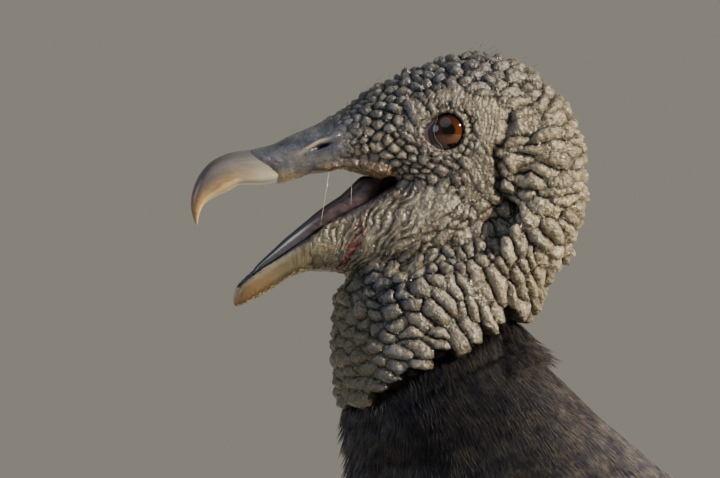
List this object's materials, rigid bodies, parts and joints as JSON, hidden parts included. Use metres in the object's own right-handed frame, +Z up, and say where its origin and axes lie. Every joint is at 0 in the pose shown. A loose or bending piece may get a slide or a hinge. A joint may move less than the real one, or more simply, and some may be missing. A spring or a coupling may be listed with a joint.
{
  "type": "black vulture model",
  "caption": "Standing life-size vulture with bare wrinkled head and neck, hooked open bill, folded wings and short tail.",
  "frame": {"origin": "on the floor, under the middle of the bird's bounding box", "axes": "+Z up, the bird faces -X, its left side is -Y"},
  "size_m": [0.3284, 0.159, 0.4211],
  "materials": {
    "head_skin": "dark warm grey bare skin, warty and wrinkled, with a dull sheen on the bumps",
    "neck_skin": "thick lumpy folds of grey skin, nearly black in the creases",
    "mouth_skin": "moist purple-grey lining of the mouth and tongue",
    "horn": "worn horn, cream near the face and orange brown at the tip",
    "eye": "wet glassy eye with an orange-brown iris and a black pupil",
    "plumage": "black-brown body feathers with a soft dull sheen",
    "flight_feather": "stiff black vanes with a low gloss and brown worn edges",
    "leg_skin": "pale grey scaly leg skin with a chalky bloom",
    "claw": "dark worn claw horn"
  },
  "bodies": {
    "root": {"head": "head_skin", "cere": "head_skin", "bill_hook": "horn", "jaw": "head_skin", "bill_lower": "horn", "tongue": "mouth_skin", "eye_left": "eye", "eye_right": "eye", "neck": "neck_skin", "trunk": "plumage", "tail": "flight_feather", "wing_left": "plumage", "secondaries_left": "flight_feather", "primaries_left": "flight_feather", "thigh_left": "plumage", "shank_left": "leg_skin", "toe_hallux_left": "leg_skin", "claw_hallux_left": "claw", "toe_inner_left": "leg_skin", "claw_inner_left": "claw", "toe_middle_left": "leg_skin", "claw_middle_left": "claw", "toe_outer_left": "leg_skin", "claw_outer_left": "claw", "wing_right": "plumage", "secondaries_right": "flight_feather", "primaries_right": "flight_feather", "thigh_right": "plumage", "shank_right": "leg_skin", "toe_hallux_right": "leg_skin", "claw_hallux_right": "claw", "toe_inner_right": "leg_skin", "claw_inner_right": "claw", "toe_middle_right": "leg_skin", "claw_middle_right": "claw", "toe_outer_right": "leg_skin", "claw_outer_right": "claw"}
  },
  "joints": []
}
